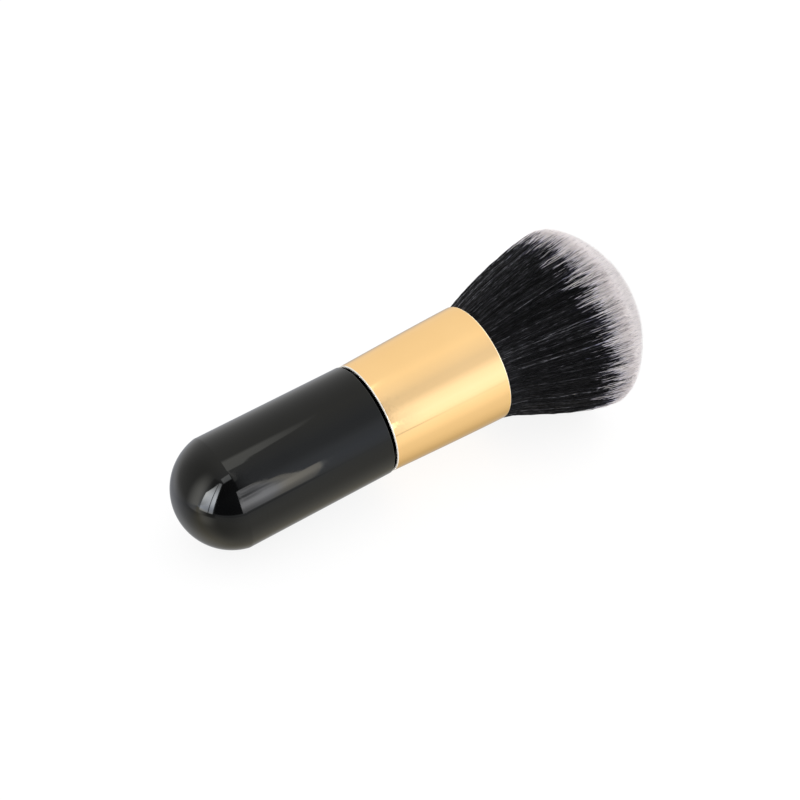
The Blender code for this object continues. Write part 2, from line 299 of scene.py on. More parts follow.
def bore_end(radius, depth, steps):
    ball = (radius ** 2 + depth ** 2) / (2.0 * depth)
    centre = -BARREL_LENGTH - depth + ball
    rim = math.atan2(-BARREL_LENGTH - centre, radius)
    points = arc((0.0, centre), ball, rim, -math.pi / 2, steps)
    points[-1] = (0.0, -BARREL_LENGTH - depth)
    return points[::-1]


def make_handle(finish):
    """The whole moulding: hollow, neck with its glue groove, barrel and dome."""
    neck = ferrule_radius(FERRULE_REAR) - FERRULE_WALL - FIT_GAP
    bore = neck - NECK_WALL
    groove = neck - GROOVE_DEPTH
    groove_end = GROOVE_START + GROOVE_WIDTH
    edge = (HANDLE_RADIUS - BARREL_EDGE_ROUND, BARREL_END - BARREL_EDGE_ROUND)
    ease = BARREL_EDGE_ROUND * EDGE_EASE_SHARE
    outline = bore_end(bore, DOME_HEIGHT - END_WALL, EDGE_STEPS)
    outline += [(bore, NECK_LENGTH)]
    outline += [(neck - NECK_CHAMFER, NECK_LENGTH), (neck, NECK_LENGTH - NECK_CHAMFER)]
    outline += [(neck, groove_end), (groove, groove_end), (groove, GROOVE_START), (neck, GROOVE_START)]
    outline += [(neck, RELIEF_END), (RELIEF_RADIUS, RELIEF_END), (RELIEF_RADIUS, BARREL_END)]
    outline += [(edge[0] - ease, BARREL_END)]
    outline += arc(edge, BARREL_EDGE_ROUND, math.pi / 2, 0.0, EDGE_STEPS)
    outline += [(HANDLE_RADIUS, edge[1] - ease)]
    outline += dome(HANDLE_RADIUS, DOME_HEIGHT, DOME_STEPS)
    return seated(turned("handle_skin", outline, finish), "handle", "handle")


def make_ferrule(finish):
    """The tube with both of its edges rolled round, the mouth's in a longer curve."""
    half = FERRULE_WALL / 2
    top, bottom = MOUTH - MOUTH_LIP, FERRULE_REAR + SKIN_SETBACK + REAR_LIP
    heights = np.linspace(top, bottom, FERRULE_RINGS + 1)
    heights = np.insert(heights, [1, len(heights) - 1], [top - LIP_EASE, bottom + LIP_EASE])
    outer = [(float(ferrule_radius(h)), float(h)) for h in heights]
    inner = [(r - FERRULE_WALL, h) for r, h in reversed(outer)]
    rear = (outer[-1][0] - half, outer[-1][1])
    mouth = (outer[0][0] - half, outer[0][1])
    rear_edge = arc(rear, half, 0.0, -math.pi, 2 * EDGE_STEPS, REAR_LIP)[1:-1]
    mouth_edge = arc(mouth, half, math.pi, 0.0, 2 * EDGE_STEPS, MOUTH_LIP)[1:-1]
    outline = outer + rear_edge + inner + mouth_edge
    return seated(turned("ferrule_skin", outline, finish), "ferrule", "ferrule")


def make_roots(finish):
    """The slice of glued roots that every filament starts from."""
    outline = [(0.0, ROOTS_FRONT), (ROOTS_RADIUS, ROOTS_FRONT)]
    outline += [(ROOTS_RADIUS, ROOTS_REAR), (0.0, ROOTS_REAR)]
    return seated(turned("bristle_roots", outline, finish), "bristle", "bristle_head")


# Bristle head

def disc_places(count, shake, draw):
    """Evenly packed places in a unit disc, each shaken a little."""
    order = np.arange(count)
    share = np.sqrt((order + 0.5) / count)
    turn = order * GOLDEN_ANGLE
    places = np.stack([share * np.cos(turn), share * np.sin(turn)], axis=1)
    return places + draw.normal(0.0, shake / math.sqrt(count), places.shape)


def flare(along):
    """Radius of the outermost filaments at a share of their way from the mouth to their tips."""
    mouth = ferrule_radius(MOUTH) - FERRULE_WALL - FIT_GAP / 2
    return mouth + (HEAD_RADIUS - mouth) * (1.0 - (1.0 - along) ** FLARE_POWER)


def tip_height(share):
    return SHOULDER_HEIGHT + CROWN_HEIGHT * np.clip(1.0 - share ** 2, 0.0, None) ** CROWN_POWER


def lean(height):
    rise = np.clip(height / SHOULDER_HEIGHT, 0.0, 1.0)
    moved = HEAD_LEAN * rise * rise * (3.0 - 2.0 * rise)
    return np.stack([moved * math.cos(LEAN_TURN), moved * math.sin(LEAN_TURN)], axis=-1)


class Filaments:
    """Where each filament stands in the bundle, and what is its own: weave, length, dye and shade; the
    shade also holds a painted sheen on the upper side.
    """

    def __init__(self, draw):
        tufts = within_disc(disc_places(TUFT_COUNT, TUFT_SHAKE, draw))
        within = disc_places(TUFT_FILAMENTS, FILAMENT_SHAKE, draw) * TUFT_REACH / math.sqrt(TUFT_COUNT)
        turns = draw.uniform(0.0, math.tau, TUFT_COUNT)
        spin = np.stack([np.cos(turns), -np.sin(turns), np.sin(turns), np.cos(turns)], axis=1)
        spread = within @ spin.reshape(-1, 2, 2).transpose(0, 2, 1)
        count = TUFT_COUNT * TUFT_FILAMENTS
        tuft = np.repeat(np.arange(TUFT_COUNT), TUFT_FILAMENTS)
        self.centre = tufts[tuft]
        self.offset = spread.reshape(-1, 2)
        self.share = np.minimum(np.linalg.norm(self.centre + self.offset, axis=1), 1.0)
        self.outward = self.centre / np.linalg.norm(self.centre, axis=1, keepdims=True)
        self.weave = np.tile([OUTWARD_WEAVE, ROUND_WEAVE], (count, 1))
        self.lift = np.zeros(count)
        self.phase = draw.uniform(0.0, math.tau, (count, 2))
        self.rate = draw.uniform(WEAVE_SLOWEST, WEAVE_FASTEST, (count, 2))
        self.sway = draw.normal(0.0, 1.0, (count, 2)) * (OUTWARD_SWAY, ROUND_SWAY)
        self.extra = draw.normal(0.0, TUFT_LENGTH_SPREAD, TUFT_COUNT)[tuft]
        self.extra += draw.normal(0.0, FILAMENT_LENGTH_SPREAD, count)
        self.turn = draw.uniform(0.0, math.tau, count)
        sheen_side = self.outward @ (math.sin(DYE_FACING), -math.cos(DYE_FACING))
        self.dye = np.full(count, DYE_END)
        turn = np.arctan2(self.centre[:, 1], self.centre[:, 0])
        for waves, height in DYE_WAVES:
            self.dye += height * np.sin(waves * turn + draw.uniform(0.0, math.tau))
        facing = np.degrees((turn - DYE_FACING + math.pi) % math.tau - math.pi)
        for at, half, height in DYE_BUMPS:
            self.dye += height * np.exp(-((facing - at) / half) ** 2)
        stray, reach = draw.random(count), draw.random(count)
        self.dye -= (stray < STRAY_SHARE) * STRAY_EARLY * reach
        self.dye += (stray > 1.0 - STRAY_SHARE) * STRAY_LATE * reach
        self.dye += draw.normal(0.0, TUFT_DYE_SPREAD, TUFT_COUNT)[tuft]
        self.dye += draw.normal(0.0, FILAMENT_DYE_SPREAD, count)
        self.shade = draw.random(TUFT_COUNT)[tuft] + draw.normal(0.0, SHADE_SPREAD, count)
        # Painted sheen: the upper side, away from the camera, is made paler
        self.shade = np.abs(self.shade) + PAINTED_SIDE_SHEEN * np.clip(sheen_side, 0.0, 1.0) ** 2
        self.shade = np.minimum(self.shade, SHADE_TOP * draw.random(count) ** SHADE_TOP_POWER)
        self.loosen(draw, sheen_side)

    def loosen(self, draw, sheen_side):
        """A few of the outermost filaments lie over the rest, painted pale as the highlight of the light
        they catch.
        """
        outermost = np.nonzero(self.share > OUTERMOST_SHARE)[0]
        loose = draw.choice(outermost, LOOSE_COUNT, replace=False)
        self.lift[loose] = LOOSE_LIFT * draw.uniform(LOOSE_LEAST_LIFT, 1.0, LOOSE_COUNT)
        self.weave[loose, 1] = LOOSE_WEAVE * draw.uniform(LOOSE_LEAST_WEAVE, 1.0, LOOSE_COUNT)
        self.rate[loose] = draw.uniform(LOOSE_SLOWEST, LOOSE_FASTEST, (LOOSE_COUNT, 2))
        # Painted highlight: the loose filaments are made pale, the palest on the side of the painted sheen
        self.shade[loose] = np.where(sheen_side[loose] > LOOSE_SIDE, LOOSE_SHEEN_SHADE, LOOSE_SHADE)

    def middle(self, along):
        """The middles of all filaments at one share of their way past the mouth."""
        place = within_disc(self.centre + self.offset * (1.0 - TUFT_PINCH * along))
        height = along * (tip_height(self.share) + self.extra)
        across = place * (flare(along) - FILAMENT_RADIUS) + lean(height)
        growth = math.sin(0.5 * math.pi * min(along / WEAVE_GROWTH, 1.0))
        swing = self.weave * np.sin(self.phase + self.rate * along) * growth + self.sway * along
        swing[:, 0] += self.lift * growth
        sideways = self.outward[:, ::-1] * (-1.0, 1.0)
        across += self.outward * swing[:, :1] + sideways * swing[:, 1:]
        return np.column_stack([across, MOUTH + height])

    def root(self):
        place = within_disc(self.centre + self.offset)
        height = np.full(len(place), ROOTS_FRONT - FIT_GAP)
        return np.column_stack([place * ROOT_BUNDLE_RADIUS, height])

    def column(self):
        """Each filament's column of the map, which holds its dye's end and its shade."""
        level = (self.dye - DYE_FIRST) / (DYE_LAST - DYE_FIRST) * DYE_LEVELS
        level = np.clip(level.astype(int), 0, DYE_LEVELS - 1)
        return level * SHADE_LEVELS + (self.shade * SHADE_LEVELS).astype(int)


def within_disc(places):
    """Places drawn in to the unit disc's rim where they lie past it."""
    reach = np.linalg.norm(places, axis=1, keepdims=True)
    return places / np.maximum(reach, 1.0)


def on_table(points):
    """Points in the frame's axes, pressed flat where they would pass through the table."""
    made = placed(points.reshape(-1, 3)).reshape(points.shape)
    made[..., 2] = np.maximum(made[..., 2], 0.0)
    return made


def thickness(along):
    """A filament's radius: full, then a long taper to a fine tip."""
    fade = np.clip((along - TAPER_START) / (1.0 - TAPER_START), 0.0, 1.0)
    return FILAMENT_RADIUS * (1.0 - (1.0 - FILAMENT_TIP_SHARE) * fade)


def filament_mesh(name, filaments, chosen, levels, finish):
    """One mesh of three-sided tapered filaments, closed at both ends, with one map column each."""
    levels = list(levels)
    count = len(chosen)
    rows = [filaments.root()[chosen]] + [filaments.middle(along)[chosen] for along in levels]
    middles = np.stack(rows, axis=1)
    rings = len(rows) - 1
    turns = filaments.turn[chosen][:, None] + np.arange(3) * math.tau / 3
    section = np.stack([np.cos(turns), np.sin(turns), np.zeros_like(turns)], axis=2)
    widths = [FILAMENT_RADIUS * FILAMENT_ROOT_SHARE] + [thickness(along) for along in levels[:-1]]
    sides = middles[:, :-1, None, :] + section[:, None] * np.array(widths)[:, None, None]
    points = np.concatenate([sides.reshape(count, -1, 3), middles[:, -1:]], axis=1)
    per = rings * 3 + 1

    ring = np.arange(rings - 1)[:, None]
    side = np.arange(3)[None]
    following = (side + 1) % 3
    quads = [ring * 3 + side, ring * 3 + following, ring * 3 + 3 + following, ring * 3 + 3 + side]
    quads = np.stack(quads, axis=-1).reshape(-1, 4)
    a, b, c, tip = per - 4, per - 3, per - 2, per - 1
    ends = np.array([[a, b, tip], [b, c, tip], [c, a, tip], [2, 1, 0]])
    start = np.arange(count)[:, None] * per
    corners = np.concatenate([quads.reshape(-1), ends.reshape(-1)])
    loops = (start + corners[None]).reshape(-1)
    sizes = np.tile(np.array([4] * len(quads) + [3] * len(ends)), count)

    mesh = bpy.data.meshes.new(name)
    mesh.vertices.add(count * per)
    mesh.vertices.foreach_set("co", on_table(points).reshape(-1).astype(np.float32))
    mesh.loops.add(len(loops))
    mesh.loops.foreach_set("vertex_index", loops.astype(np.int32))
    mesh.polygons.add(len(sizes))
    starts = np.concatenate([[0], np.cumsum(sizes)[:-1]])
    mesh.polygons.foreach_set("loop_start", starts.astype(np.int32))
    mesh.update(calc_edges=True)

    along = MAP_MOUTH + (1.0 - MAP_MOUTH) * np.array([-MAP_MOUTH / (1.0 - MAP_MOUTH)] + levels)
    vertex_along = np.append(np.repeat(along[:-1], 3), along[-1])
    vertex_across = np.append(np.tile(MAP_SIDES, rings), MAP_SIDES[1])
    column = filaments.column()[chosen]
    u = (column[:, None] + vertex_across[corners][None]) / (DYE_LEVELS * SHADE_LEVELS)
    v = np.broadcast_to(vertex_along[corners][None], u.shape)
    layer = mesh.uv_layers.new(name="OFBake")
    layer.data.foreach_set("uv", np.stack([u, v], axis=-1).reshape(-1).astype(np.float32))
    mesh.shade_smooth()
    mesh.materials.append(finish)
    mesh.validate()
    piece = bpy.data.objects.new(name, mesh)
    bpy.context.scene.collection.objects.link(piece)
    return piece


def make_head(finish):
    """The head in sectors, each with a mesh of full outer filaments and one of plainer inner ones."""
    draw = np.random.default_rng(SEED)
    filaments = Filaments(draw)
    turn = np.arctan2(filaments.centre[:, 1], filaments.centre[:, 0])
    sector = ((turn / math.tau) % 1.0 * SECTORS).astype(int)
    skin = np.linalg.norm(filaments.centre, axis=1) > SKIN_SHARE
    pieces = []
    for i in range(SECTORS):
        for kind, levels, wanted in (("outer", SKIN_LEVELS, skin), ("inner", CORE_LEVELS, ~skin)):
            chosen = np.nonzero((sector == i) & wanted)[0]
            name = f"bristles_{kind}_{i + 1:02d}"
            piece = filament_mesh(name, filaments, chosen, levels, finish)
            pieces.append(seated(piece, "bristle", "bristle_head"))
    return pieces


# Materials

class Tree:
    """A short way to write a node tree."""

    def __init__(self, owner):
        owner.use_nodes = True
        self.tree = owner.node_tree
        self.nodes = self.tree.nodes

    def add(self, kind, inputs=(), **settings):
        node = self.nodes.new(kind)
        for key, value in settings.items():
            setattr(node, key, value)
        for key, value in dict(inputs).items():
            self.feed(node.inputs[key], value)
        return node

    def feed(self, socket, value):
        if isinstance(value, bpy.types.NodeSocket):
            self.tree.links.new(value, socket)
        else:
            socket.default_value = value

    def math(self, operation, *values):
        node = self.add("ShaderNodeMath", enumerate(values), operation=operation)
        return node.outputs[0]

    def dot(self, vector, axis):
        node = self.add("ShaderNodeVectorMath", {0: vector, 1: tuple(axis)}, operation="DOT_PRODUCT")
        return node.outputs["Value"]

    def scaled(self, vector, factor):
        node = self.add("ShaderNodeVectorMath", {0: vector, "Scale": factor}, operation="SCALE")
        return node.outputs[0]

    def smooth(self, value, low, high, from_value=0.0, to_value=1.0):
        """A soft step of value between low and high."""
        limits = {"From Min": low, "From Max": high, "To Min": from_value, "To Max": to_value}
        node = self.add("ShaderNodeMapRange", {"Value": value, **limits}, interpolation_type="SMOOTHSTEP")
        return node.outputs[0]

    def edge(self, value, at, soft):
        """Rises from 0 to 1 where value passes at."""
        return self.smooth(value, at - soft, at + soft)

    def between(self, value, low, high, soft):
        """1 where value lies between low and high, with soft sides."""
        above = self.edge(value, low, soft)
        return self.math("MULTIPLY", above, self.smooth(value, high - soft, high + soft, 1.0, 0.0))

    def bump(self, value, centre, half):
        """1 where value is at the centre, down to 0 at half either side."""
        rise = self.smooth(value, centre - half, centre)
        return self.math("MULTIPLY", rise, self.smooth(value, centre, centre + half, 1.0, 0.0))

    def times(self, *values):
        product = values[0]
        for value in values[1:]:
            product = self.math("MULTIPLY", product, value)
        return product

    def total(self, *values):
        added = values[0]
        for value in values[1:]:
            added = self.math("ADD", added, value)
        return added

    def without(self, *shares):
        """What is left of one once each share is taken from it in turn."""
        return self.times(*[self.math("SUBTRACT", 1.0, share) for share in shares])

    def mix(self, share, first, second, **settings):
        node = self.add("ShaderNodeMix", {0: share}, data_type="RGBA", **settings)
        self.feed(node.inputs[6], first)
        self.feed(node.inputs[7], second)
        return node.outputs[2]

    def noise(self, scale, detail=3.0, roughness=0.5, coordinates=None):
        if coordinates is None:
            coordinates = self.add("ShaderNodeTexCoord").outputs["Object"]
        sockets = {"Vector": coordinates, "Scale": scale, "Detail": detail, "Roughness": roughness}
        return self.add("ShaderNodeTexNoise", sockets).outputs[0]

    def relief(self, height, strength, depth):
        node = self.add("ShaderNodeBump", {"Strength": strength, "Distance": depth, "Height": height})
        return node.outputs[0]

    def curve(self, value, points):
        """A broken line through points of value and height."""
        first, last = points[0][0], points[-1][0]
        low = min(height for _, height in points)
        span = max(height for _, height in points) - low
        share = self.math("DIVIDE", self.math("SUBTRACT", value, first), last - first)
        stops = [((at - first) / (last - first), ((height - low) / span,) * 3) for at, height in points]
        return self.math("MULTIPLY_ADD", self.ramp(share, stops), span, low)

    def ramp(self, value, stops):
        """Colours in a straight run from stop to stop."""
        node = self.add("ShaderNodeValToRGB", {0: value})
        points = node.color_ramp.elements
        points[0].position = stops[0][0]
        points[1].position = stops[-1][0]
        for place, _ in stops[1:-1]:
            points.new(place)
        for point, (_, colour) in zip(points, stops):
            point.color = (*colour, 1.0)
        return node.outputs[0]


def shader_of(name):
    made = bpy.data.materials.new(name)
    tree = Tree(made)
    return made, tree, tree.nodes["Principled BSDF"]


# The stretches of a noise's range that the patterns use
WIDE = (0.2, 0.8)
UPPER = (0.3, 0.8)
SOFT = (0.3, 0.7)
FIRM = (0.35, 0.65)

BLACK_BODY = ((0.0010, 0.0010, 0.0011, 1.0), (0.0020, 0.0020, 0.0021, 1.0))
BLACK_FLOW = 60.0
BLACK_RUBBING = 900.0
BLACK_ROUGHNESS = (0.03, 0.06)
BLACK_SPECULAR = 0.28
BLACK_GLOSS = (1.0, 1.0, 0.93, 1.0)


def gloss_black():
    """Moulded gloss black: near-black body, a hard polish with faint rubbing and a little flow mark."""
    made, tree, shader = shader_of("handle_gloss_black")
    rub = tree.noise(BLACK_RUBBING, detail=4.0)
    flow = tree.noise(BLACK_FLOW, detail=2.0)
    tree.feed(shader.inputs["Base Color"], tree.mix(tree.smooth(flow, *FIRM), *BLACK_BODY))
    tree.feed(shader.inputs["Roughness"], tree.smooth(rub, *UPPER, *BLACK_ROUGHNESS))
    shader.inputs["Specular IOR Level"].default_value = BLACK_SPECULAR
    shader.inputs["Specular Tint"].default_value = BLACK_GLOSS
    return made


GOLD_TINTS = ((0.925, 0.605, 0.270, 1.0), (0.945, 0.625, 0.286, 1.0))
GOLD_PATCHES = 45.0
GOLD_RUBBING = 1400.0
GOLD_ROUGHNESS = (0.045, 0.085)
GOLD_GLANCING = (0.96, 0.90, 0.80, 1.0)
# Painted highlight lines on the ferrule's edges: a pale matt colour on the rear edge, and on the mouth's a
# paler bare metal whose colour also stands in for the bright line there
PAINTED_REAR_HIGHLIGHT = (1.0, 0.96, 0.88, 1.0)
BARE_MOUTH_AND_HIGHLIGHT = (1.0, 0.92, 0.72, 1.0)
HIGHLIGHT_EDGE_ROUGHNESS = 0.55


def pale_gold():
    """Polished pale gold anodising, with the finest rubbing. Its edges carry painted highlight lines: the
    rear one in a matt pale colour, the mouth's on paler bare metal.
    """
    made, tree, shader = shader_of("ferrule_pale_gold")
    patch = tree.noise(GOLD_PATCHES, detail=2.0)
    rub = tree.noise(GOLD_RUBBING, detail=3.0)
    height = tree.dot(tree.add("ShaderNodeTexCoord").outputs["Object"], AXES[2])
    height = tree.math("SUBTRACT", height, float(ZERO @ AXES[2]))
    past_rear = tree.edge(height, FERRULE_REAR + SKIN_SETBACK + REAR_HIGHLIGHT_REACH, EDGE_BLUR)
    skin = tree.times(past_rear, tree.smooth(height, MOUTH - MOUTH_HIGHLIGHT_START, MOUTH - MOUTH_HIGHLIGHT_FULL, 1.0, 0.0))
    tint = tree.mix(tree.smooth(patch, *SOFT), *GOLD_TINTS)
    # Painted highlights: the pale colours that the edges take in place of the gold
    painted_edge_highlights = tree.mix(tree.edge(height, MOUTH / 2, EDGE_BLUR), PAINTED_REAR_HIGHLIGHT, BARE_MOUTH_AND_HIGHLIGHT)
    dull = tree.math("ADD", tree.smooth(rub, *UPPER, *GOLD_ROUGHNESS), HIGHLIGHT_EDGE_ROUGHNESS)
    tree.feed(shader.inputs["Base Color"], tree.mix(skin, painted_edge_highlights, tint))
    tree.feed(shader.inputs["Roughness"], tree.math("MULTIPLY_ADD", skin, -HIGHLIGHT_EDGE_ROUGHNESS, dull))
    tree.feed(shader.inputs["Metallic"], past_rear)
    shader.inputs["Specular Tint"].default_value = GOLD_GLANCING
    return made


# Hair: each filament's shade picks its black and its white, and both are cooler near the end of the dye
# The palest blacks are both paler filaments and a painted bluish sheen: the painted side sheen lifts
# filaments into them most
BLACK_SHADES = (
    (0.0, (0.0008, 0.0008, 0.0009)),
    (0.5, (0.0027, 0.0027, 0.0029)),
    (0.75, (0.0125, 0.0125, 0.0135)),
    (0.93, (0.045, 0.045, 0.051)),
    (1.0, (0.15, 0.15, 0.165)),
)
# The darkest whites are painted shade, standing in for the thin shadows between the hairs
WHITE_SHADES = (
    (0.0, (0.46, 0.42, 0.44)),
    (0.18, (0.84, 0.785, 0.79)),
    (0.45, (0.93, 0.875, 0.87)),
    (1.0, (0.98, 0.93, 0.92)),
)
COOL_WHITE = (0.86, 0.88, 1.0, 1.0)
COOL_BLACK = (1.0, 0.97, 1.35, 1.0)
COOL_WHITE_REACH = 0.08
COOL_BLACK_REACH = 0.16
# Painted glints and shade: a noise along each filament brightens and darkens its black in short streaks
GLINT_COLUMNS = 7.3
GLINTS_ALONG = 18.0
GLINTS = (0.35, 0.75, 0.15, 2.5)
HAIR_ROUGHNESS = 0.42
HAIR_SPECULAR = 0.13


def two_tone_hair():
    """Black filament that turns white near its tip. Its column of the map holds its dye and its shade."""
    made, tree, shader = shader_of("bristle_two_tone")
    uv = tree.add("ShaderNodeTexCoord").outputs["UV"]
    across, up = tree.add("ShaderNodeSeparateXYZ", {0: uv}).outputs[:2]
    column = tree.math("FLOOR", tree.math("MULTIPLY", across, DYE_LEVELS * SHADE_LEVELS))
    level = tree.math("FLOOR", tree.math("DIVIDE", column, SHADE_LEVELS))
    shade = tree.math("DIVIDE", tree.math("MODULO", column, SHADE_LEVELS), SHADE_LEVELS - 1)
    step = (DYE_LAST - DYE_FIRST) / DYE_LEVELS
    dye_end = tree.math("MULTIPLY_ADD", level, step, DYE_FIRST + step / 2)
    along = tree.math("DIVIDE", tree.math("SUBTRACT", up, MAP_MOUTH), 1.0 - MAP_MOUTH)
    past = tree.math("SUBTRACT", along, dye_end)

    white = tree.ramp(shade, WHITE_SHADES)
    cool = tree.mix(1.0, white, COOL_WHITE, blend_type="MULTIPLY")
    white = tree.mix(tree.smooth(past, 0.0, COOL_WHITE_REACH), cool, white)

    # Painted glints and shade along each black filament
    place = {0: tree.math("MULTIPLY", column, GLINT_COLUMNS), 1: tree.math("MULTIPLY", up, GLINTS_ALONG)}
    place = tree.add("ShaderNodeCombineXYZ", place).outputs[0]
    painted_glint = tree.noise(1.0, detail=2.0, roughness=0.6, coordinates=place)
    black = tree.scaled(tree.ramp(shade, BLACK_SHADES), tree.smooth(painted_glint, *GLINTS))
    cool = tree.mix(1.0, black, COOL_BLACK, blend_type="MULTIPLY")
    black = tree.mix(tree.smooth(past, -COOL_BLACK_REACH, 0.0), black, cool)

    dyed = tree.mix(tree.smooth(past, -DYE_SOFTNESS, DYE_SOFTNESS), black, white)
    tree.feed(shader.inputs["Base Color"], dyed)
    shader.inputs["Roughness"].default_value = HAIR_ROUGHNESS
    shader.inputs["Specular IOR Level"].default_value = HAIR_SPECULAR
    return made


# Inside pieces: the colours and roughnesses that each pattern runs between, and the strength and depth
# of its relief
ROOT_TINTS = ((0.006, 0.006, 0.007, 1.0), (0.05, 0.045, 0.04, 1.0))
ROOT_ROUGHNESS = (0.3, 0.6)
ROOT_GRAIN = 4000.0
THREAD_TINTS = ((0.62, 0.58, 0.50, 1.0), (0.80, 0.77, 0.71, 1.0))
THREAD_ROUGHNESS = 0.55
THREAD_TWIST = 700.0
THREAD_STRAY = 1.5
THREAD_RELIEF = (0.4, 0.00005)
RESIN_TINTS = ((0.50, 0.37, 0.18, 1.0), (0.70, 0.58, 0.36, 1.0))
RESIN_ROUGHNESS = (0.12, 0.3)
RESIN_CLOUDS = 220.0
GLUE_TINTS = ((0.70, 0.65, 0.50, 1.0), (0.86, 0.82, 0.70, 1.0))
GLUE_ROUGHNESS = 0.6
GLUE_LUMPS = 900.0
GLUE_RELIEF = (0.5, 0.0001)


def glued_roots():
    made, tree, shader = shader_of("bristle_glued_roots")
    grain = tree.noise(ROOT_GRAIN, detail=2.0)
    tree.feed(shader.inputs["Base Color"], tree.mix(tree.smooth(grain, *FIRM), *ROOT_TINTS))
    tree.feed(shader.inputs["Roughness"], tree.smooth(grain, *SOFT, *ROOT_ROUGHNESS))
    return made


def waxed_thread():
    """Twisted cotton with wax on it."""
    made, tree, shader = shader_of("thread_waxed_cotton")
    wave = {"Scale": THREAD_TWIST, "Distortion": THREAD_STRAY}
    twist = tree.add("ShaderNodeTexWave", wave, bands_direction="DIAGONAL").outputs[1]
    tree.feed(shader.inputs["Base Color"], tree.mix(twist, *THREAD_TINTS))
    tree.feed(shader.inputs["Normal"], tree.relief(twist, *THREAD_RELIEF))
    shader.inputs["Roughness"].default_value = THREAD_ROUGHNESS
    return made


def cast_resin():
    made, tree, shader = shader_of("resin_amber")
    cloud = tree.noise(RESIN_CLOUDS, detail=4.0)
    tree.feed(shader.inputs["Base Color"], tree.mix(tree.smooth(cloud, *SOFT), *RESIN_TINTS))
    tree.feed(shader.inputs["Roughness"], tree.smooth(cloud, *WIDE, *RESIN_ROUGHNESS))
    return made


def dry_glue():
    made, tree, shader = shader_of("glue_dry")
    lumps = tree.noise(GLUE_LUMPS, detail=4.0)
    tree.feed(shader.inputs["Base Color"], tree.mix(lumps, *GLUE_TINTS))
    tree.feed(shader.inputs["Normal"], tree.relief(lumps, *GLUE_RELIEF))
    shader.inputs["Roughness"].default_value = GLUE_ROUGHNESS
    return made


def dress_inner_nodes():
    finishes = {"binding_thread": waxed_thread(), "root_plug": cast_resin(), "neck_glue": dry_glue()}
    for node, finish in finishes.items():
        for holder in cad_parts[node].material_slots:
            holder.material = finish


# Floor: what it is to the light, and how pale it is to the camera, which sees some of it as plain white
FLOOR_SIZE = 6.0
FLOOR_DROP = 0.0001
FLOOR_LIT = (0.9, 0.9, 0.9, 1.0)
FLOOR_SEEN = (0.17, 0.17, 0.17, 1.0)
FLOOR_WHITE = 0.86


def make_floor():
    """A plain white floor that keeps the brush's shadow."""
    bpy.ops.mesh.primitive_plane_add(size=FLOOR_SIZE, location=(0.0, 0.0, -FLOOR_DROP))
    floor = bpy.context.object
    floor.name = "floor"
    made, tree, shader = shader_of("floor_white")
    seen = tree.add("ShaderNodeLightPath").outputs["Is Camera Ray"]
    tree.feed(shader.inputs["Base Color"], tree.mix(seen, FLOOR_LIT, FLOOR_SEEN))
    tree.feed(shader.inputs["Emission Strength"], tree.math("MULTIPLY", seen, FLOOR_WHITE))
    shader.inputs["Emission Color"].default_value = (1.0, 1.0, 1.0, 1.0)
    shader.inputs["Roughness"].default_value = 1.0
    shader.inputs["Specular IOR Level"].default_value = 0.0
    floor.data.materials.append(made)
    floor.visible_glossy = False


# The white tent by angle round the brush (-180 and 180 are straight down, 0 is up, and -90 is the side
# that the camera stands on): its brightness, and how much cooler than white it looks in gloss
TENT = (
    (-180, 0.59, -0.18), (-165, 0.75, -0.12), (-150, 0.87, -0.08), (-132, 0.95, -0.05), (-118, 1.12, -0.02),
    (-106, 1.22, 0.02), (-92, 1.45, 0.15), (-80, 1.50, 0.19), (-62, 1.36, 0.15), (-55, 1.18, 0.14),
    (-47, 1.00, 0.12), (-34, 0.96, 0.12), (-20, 1.01, 0.06), (2, 1.08, 0.0), (22, 1.02, 0.0),
    (62, 0.99, 0.0), (95, 0.97, 0.0), (106, 0.86, 0.03), (120, 0.60, 0.08), (136, 0.57, 0.04),
    (150, 0.55, 0.0), (180, 0.59, -0.18),
)
TENT_BRIGHTEST = 2.0
TENT_RED_LOSS = 0.35

# Darker bands of the tent: the middle and half width in degrees, and the depth at two places along the
# brush. The first is the fine line on the ferrule
TENT_BANDS = (
    (-101.0, 2.4, (0.28, 0.315, 0.34, 0.10)),
    (-42.0, 28.0, (0.24, 0.36, 0.07, 0.02)),
    (-84.0, 34.0, (0.262, 0.290, 0.26, 0.0)),
)
HEAD_END = (0.5, 0.8)
HEAD_END_BRIGHTNESS = 1.9
TAIL_END = (-0.6, -0.1)
TAIL_LOWER = (0.2, 0.2)
TAIL_SIDE = (-0.5, 0.1)
TAIL_DIMMING = 0.25

# Dark opening round the lens: its sides in degrees round the brush and seen from the tail, and its end
OPENING_LOWER = (-97.5, 2.0)
OPENING_UPPER = (-31.0, -14.0)
OPENING_SIDE = (31.3, 0.6)
OPENING_END = (0.247, 0.262)
OPENING_NOTCH = (-56.0, -44.0)
OPENING_NOTCH_ALONG = (0.246, 0.256)
OPENING_DEPTH = 0.88

# Window, seen from the tail in degrees: its frame, its two panes and the blind over their upper corner
SLANT = -0.17
FRAME_SIDES = (2.0, 34.0, 2.0)
FRAME_HEIGHTS = (-17.0, 52.0, 3.0)
FRAME_DEPTH = 0.45
PANES = ((5.5, 20.6, 0.6), (22.0, 29.2, 0.6))
PANE_HEIGHTS = (-9.8, 48.0, 0.8)
PANE_GLEAM = (21.0, 26.0)
PANE_GLEAM_BRIGHTNESS = 12.0
PANE_BRIGHTNESS = 4.6
BLIND_SLANT = -0.632
BLIND_EDGE = (-9.3, 1.0)

